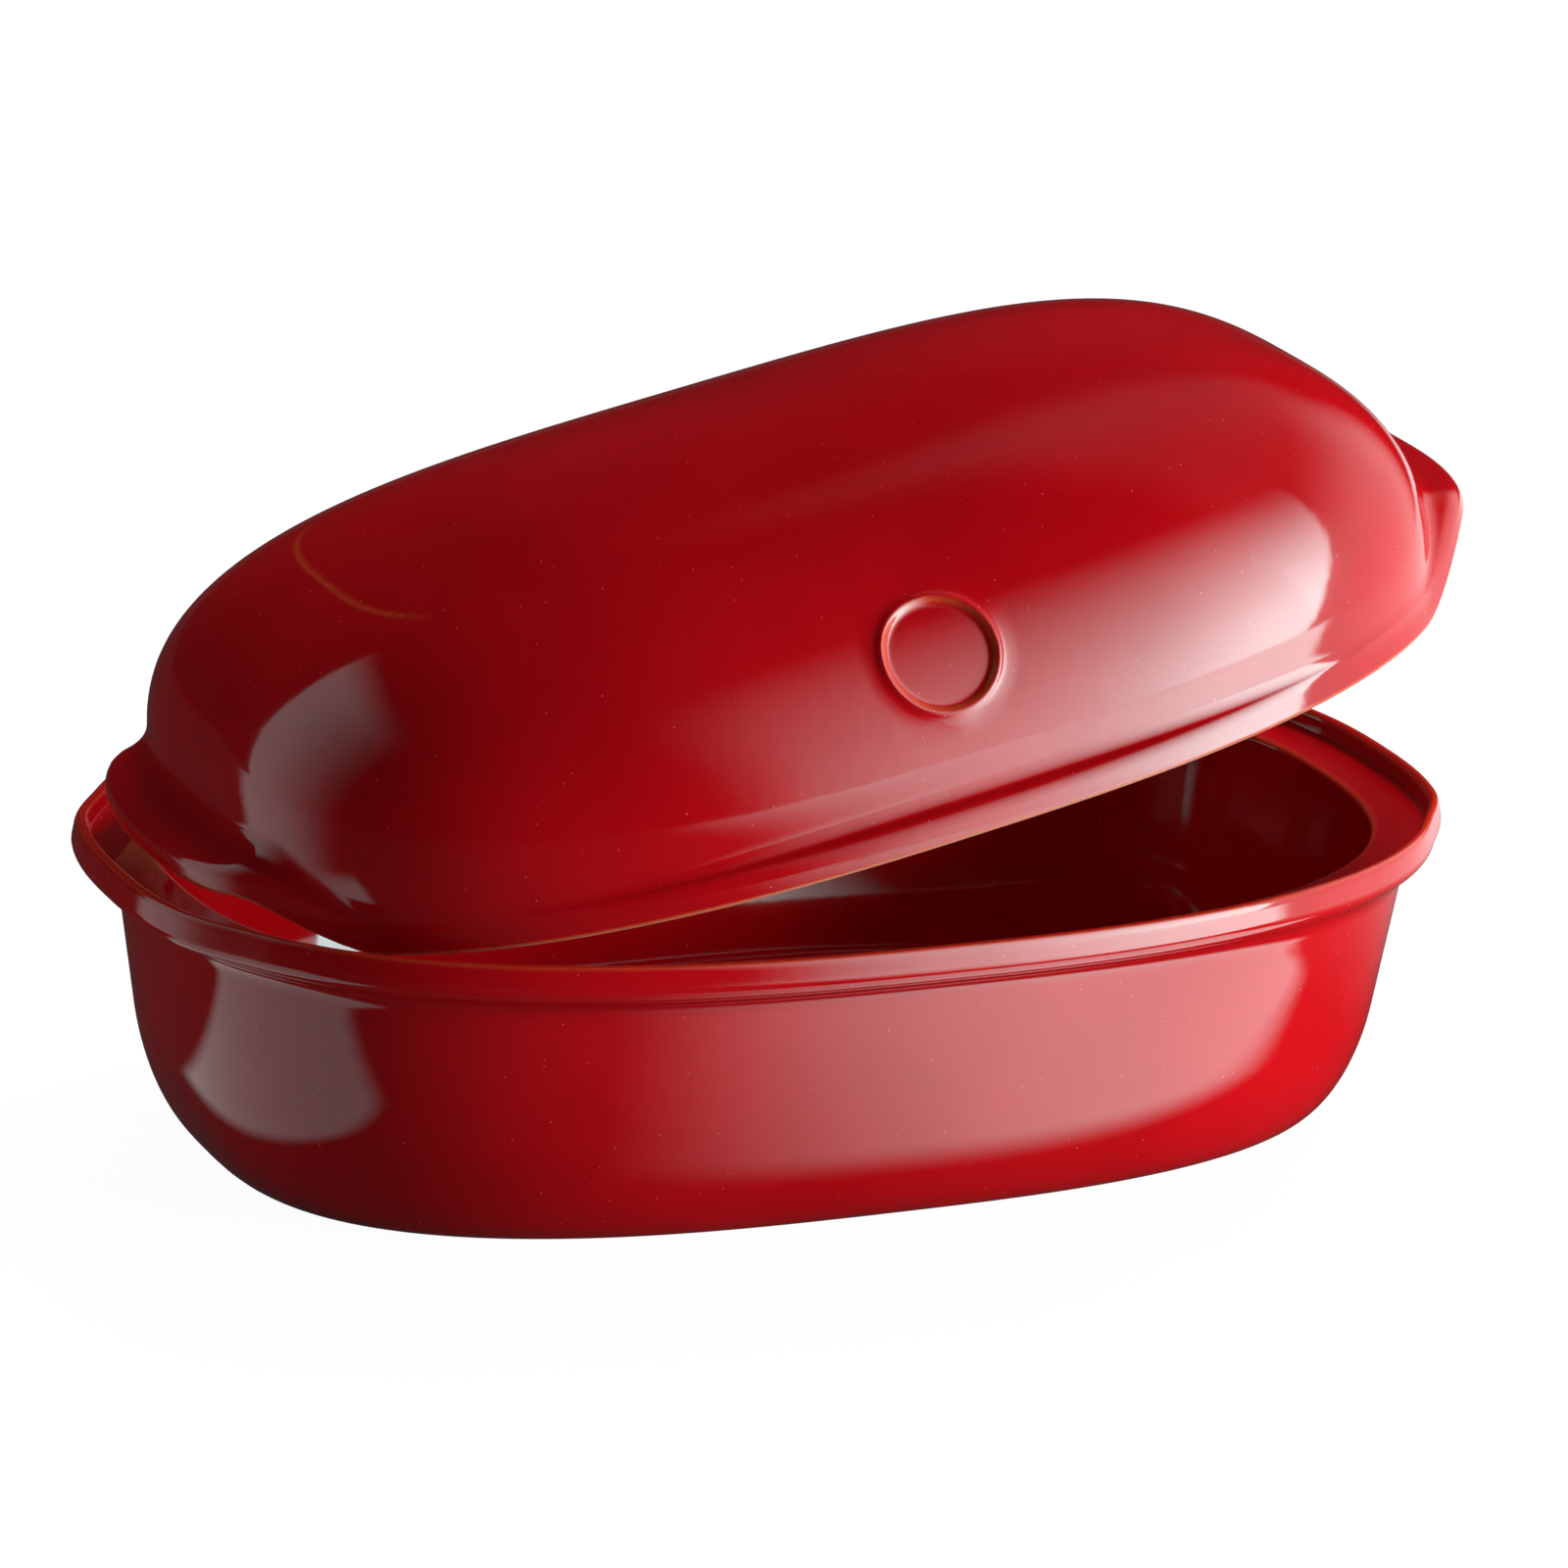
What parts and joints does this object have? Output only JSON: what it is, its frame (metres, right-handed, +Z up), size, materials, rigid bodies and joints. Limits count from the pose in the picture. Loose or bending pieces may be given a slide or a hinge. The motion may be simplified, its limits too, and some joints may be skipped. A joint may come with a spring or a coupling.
{
  "type": "covered loaf baker",
  "caption": "Oval glazed ceramic baking dish with a ledged rim, and a loose domed lid with end ears that nests inside the lip; the lid is shown tipped open.",
  "frame": {"origin": "centre of the dish's flat foot, on the table", "axes": "+X along the length towards the end where the lid is raised, +Y across the width away from the pictured long side, +Z up"},
  "size_m": [0.34, 0.22, 0.1904],
  "materials": {
    "dish_glaze": "gloss",
    "lid_glaze": "gloss"
  },
  "bodies": {
    "dish": {"dish": "dish_glaze"},
    "lid": {"lid": "lid_glaze"}
  },
  "joints": [
    {"name": "lid_tilt", "type": "hinge", "parent": "dish", "child": "lid", "pos_m": [-0.13603, 0, 0.1221], "axis": [0, -1, 0], "range_deg": [-12.2, 15]}
  ]
}
